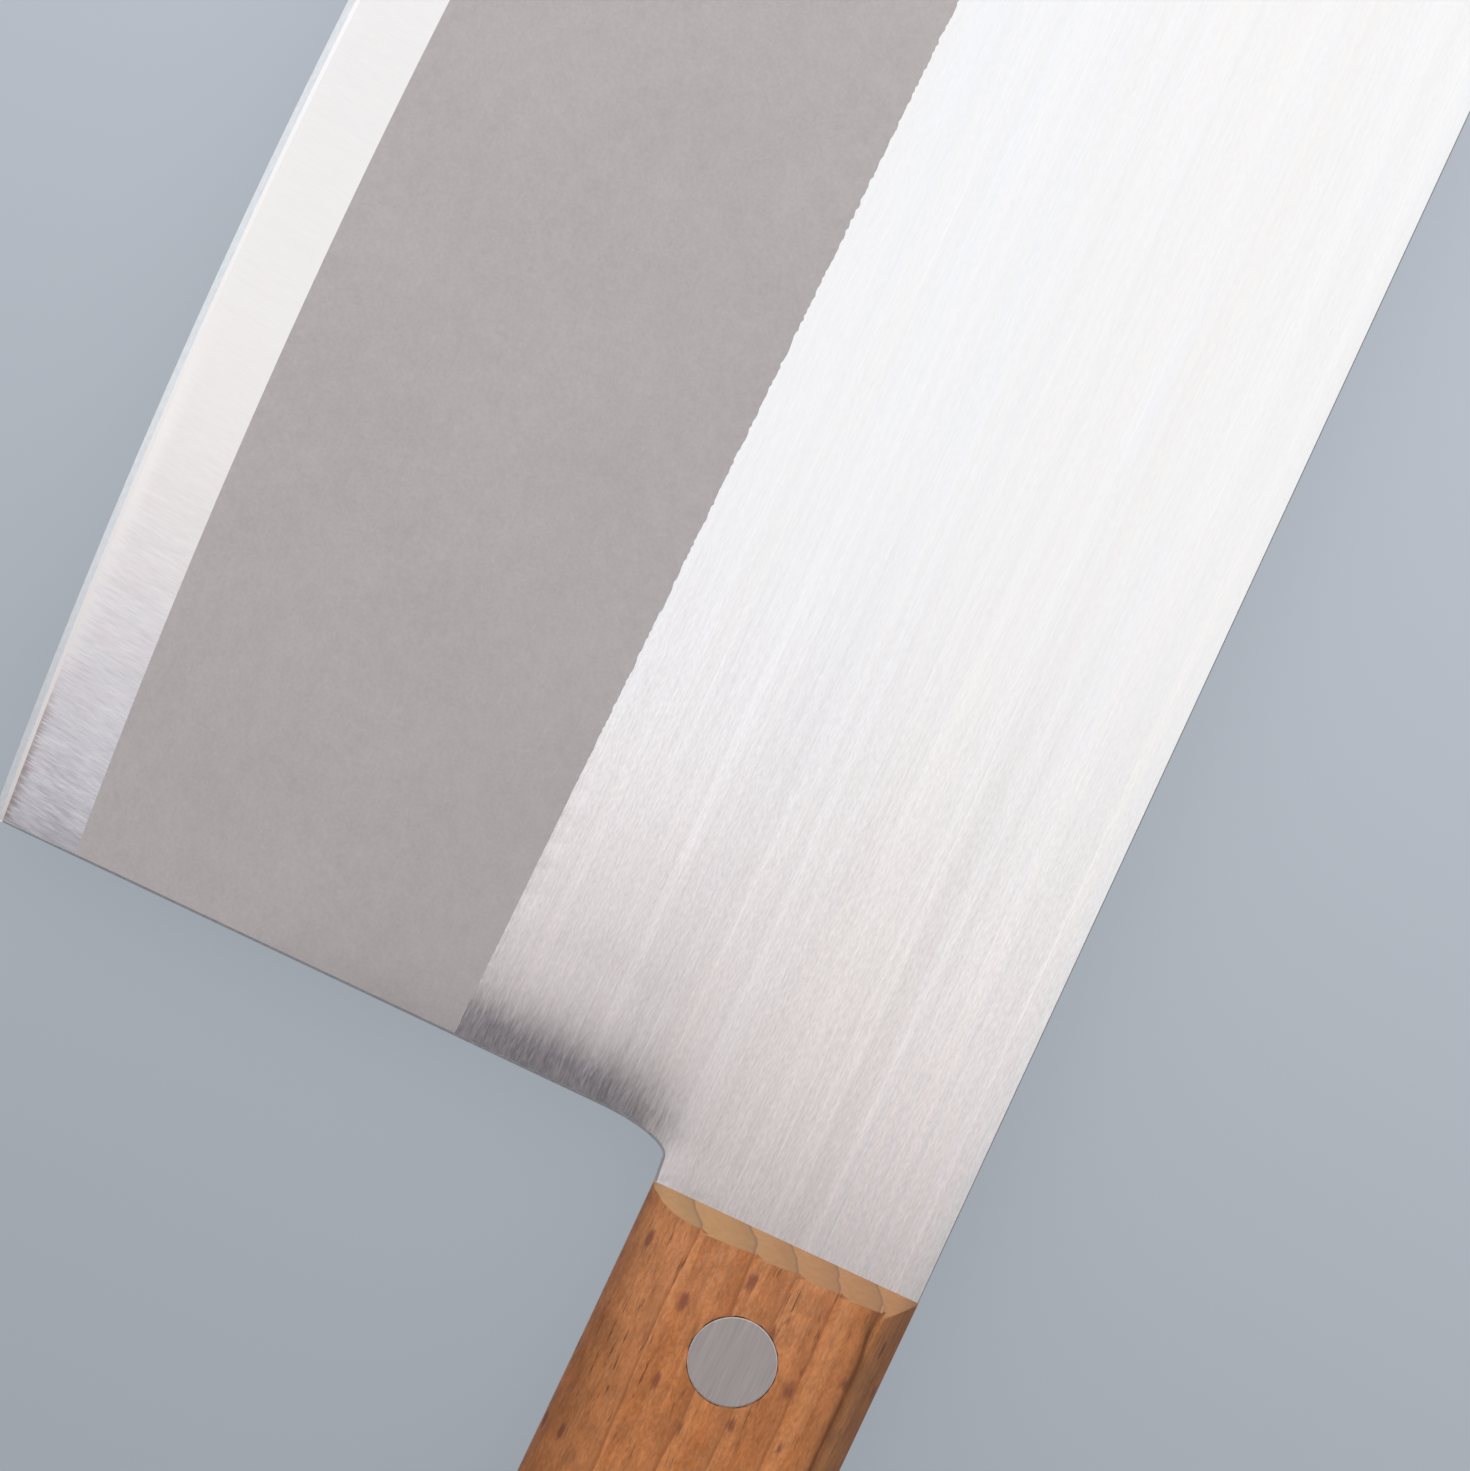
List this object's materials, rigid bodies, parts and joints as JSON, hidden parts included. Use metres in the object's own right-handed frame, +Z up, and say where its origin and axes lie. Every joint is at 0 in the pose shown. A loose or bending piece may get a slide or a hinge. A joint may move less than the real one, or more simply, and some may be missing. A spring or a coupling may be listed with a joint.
{
  "type": "chinese cleaver",
  "caption": "Chinese cleaver: broad steel blade with a blasted taper, polished curved bevel and full tang, with beech handle scales clamped by flush rivets.",
  "frame": {"origin": "on the surface that the cleaver lies on, under the middle of its bounding box", "axes": "+X from the handle to the front of the blade along the spine, +Y from the spine to the cutting edge, +Z up out of the left face of the blade"},
  "size_m": [0.3348, 0.1127, 0.0185],
  "materials": {
    "blade_steel": "brushed along its length beside the spine, fine blasted grey on the taper, polished on the bevel",
    "beech": "oiled beech with dark ray flecks, pale end grain on the slanted front",
    "rivet_steel": "satin, sanded flush with the wood"
  },
  "bodies": {
    "root": {"blade": "blade_steel", "left_scale": "beech", "right_scale": "beech", "rivet_socket_front": "rivet_steel", "rivet_socket_middle": "rivet_steel", "rivet_socket_rear": "rivet_steel", "rivet_stud_front": "rivet_steel", "rivet_stud_middle": "rivet_steel", "rivet_stud_rear": "rivet_steel"}
  },
  "joints": []
}
